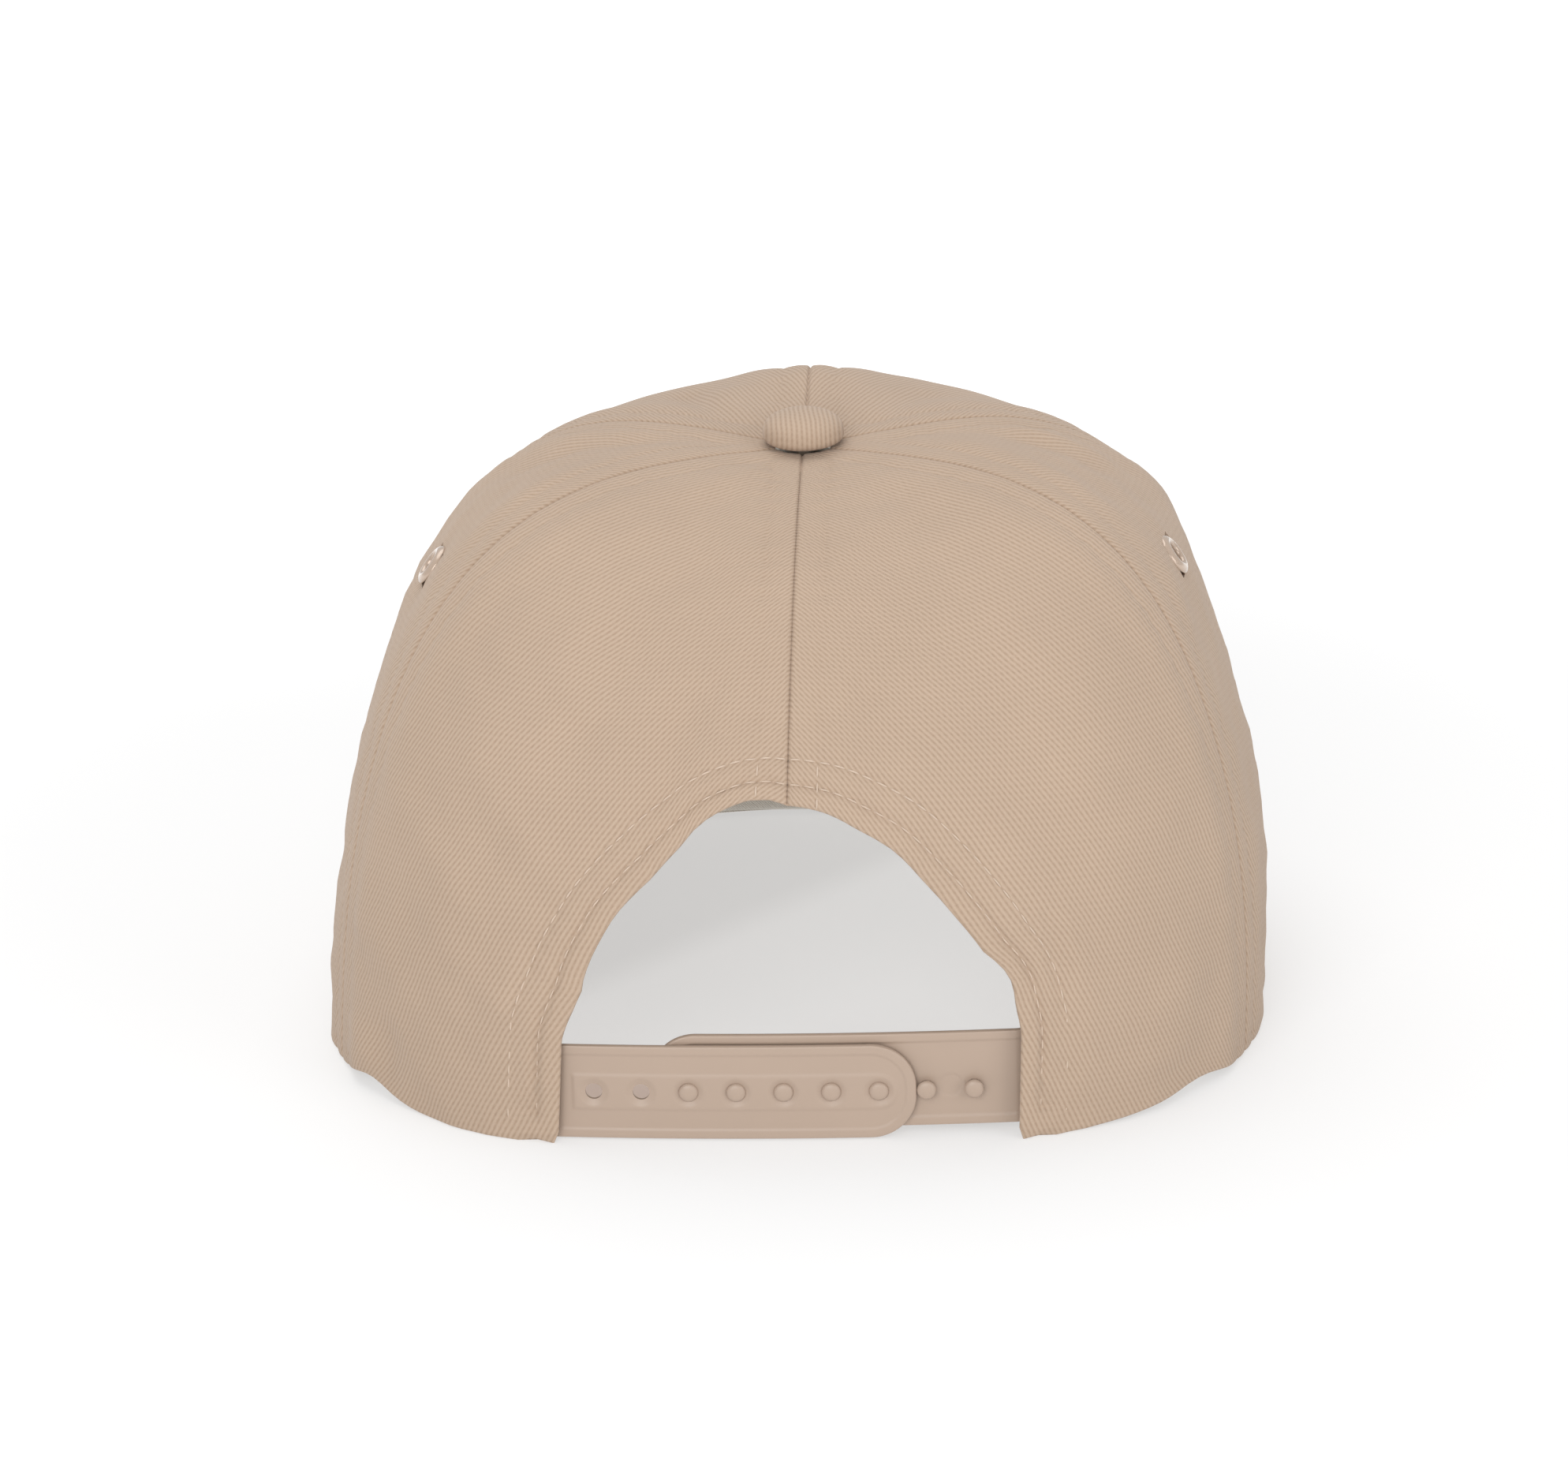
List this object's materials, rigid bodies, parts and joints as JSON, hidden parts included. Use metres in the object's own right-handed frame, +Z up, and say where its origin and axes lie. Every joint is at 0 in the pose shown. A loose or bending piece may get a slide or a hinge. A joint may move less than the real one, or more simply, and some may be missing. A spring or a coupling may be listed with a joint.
{
  "type": "baseball cap",
  "caption": "Structured six-panel cap in cotton twill with a covered button, vent eyelets, stiff brim, sweatband and a moulded snap strap across a rear arch.",
  "frame": {"origin": "middle of the whole cap's footprint, on the surface that the rim rests on", "axes": "+Z up, +Y forwards over the brim, +X to the wearer's right"},
  "size_m": [0.196, 0.254, 0.1252],
  "materials": {
    "twill": "tan cotton twill, matt",
    "lining": "off-white cotton tape and lining, matt",
    "buckram": "stiff open-weave buckram, off-white",
    "strap_plastic": "moulded plastic in the cloth's colour, satin",
    "eyelet_enamel": "glossy enamel in the cloth's colour",
    "plated_steel": "plain plated steel",
    "brim_board": "white polyethylene board"
  },
  "bodies": {
    "crown": {"front_panel_left": "twill", "front_panel_right": "twill", "side_panel_left": "twill", "side_panel_right": "twill", "rear_panel_left": "twill", "rear_panel_right": "twill", "buckram_left": "buckram", "buckram_right": "buckram", "seam_tape_front": "lining", "seam_tape_front_side_left": "lining", "seam_tape_front_side_right": "lining", "seam_tape_rear_side_left": "lining", "seam_tape_rear_side_right": "lining", "seam_tape_rear": "lining", "arch_facing": "twill", "sweatband": "lining", "sweatband_interlining": "buckram", "button_cover": "twill", "button_shell": "plated_steel", "button_rivet": "plated_steel", "eyelet_left": "eyelet_enamel", "eyelet_right": "eyelet_enamel", "eyelet_washer_left": "plated_steel", "eyelet_washer_right": "plated_steel", "hole_strap_tab": "strap_plastic", "peg_strap_tab": "strap_plastic"},
    "hole_strap_free": {"hole_strap": "strap_plastic"},
    "peg_strap_free": {"peg_strap": "strap_plastic"},
    "brim": {"brim_board": "brim_board", "brim_top_cover": "twill", "brim_under_cover": "twill"}
  },
  "joints": [
    {"name": "hole_strap_swing", "type": "hinge", "parent": "crown", "child": "hole_strap_free", "pos_m": [-0.0455, -0.12476, 0.0104], "axis": [0, 0, -1], "range_deg": [0, 80], "stiffness_Nm_per_rad": 0.02},
    {"name": "peg_strap_swing", "type": "hinge", "parent": "crown", "child": "peg_strap_free", "pos_m": [0.0455, -0.12251, 0.0122], "axis": [0, 0, -1], "range_deg": [0, 45], "stiffness_Nm_per_rad": 0.02},
    {"name": "brim_flex", "type": "hinge", "parent": "crown", "child": "brim", "pos_m": [0, 0.024, 0.0023], "axis": [1, 0, 0], "range_deg": [-8, 6], "stiffness_Nm_per_rad": 2}
  ]
}
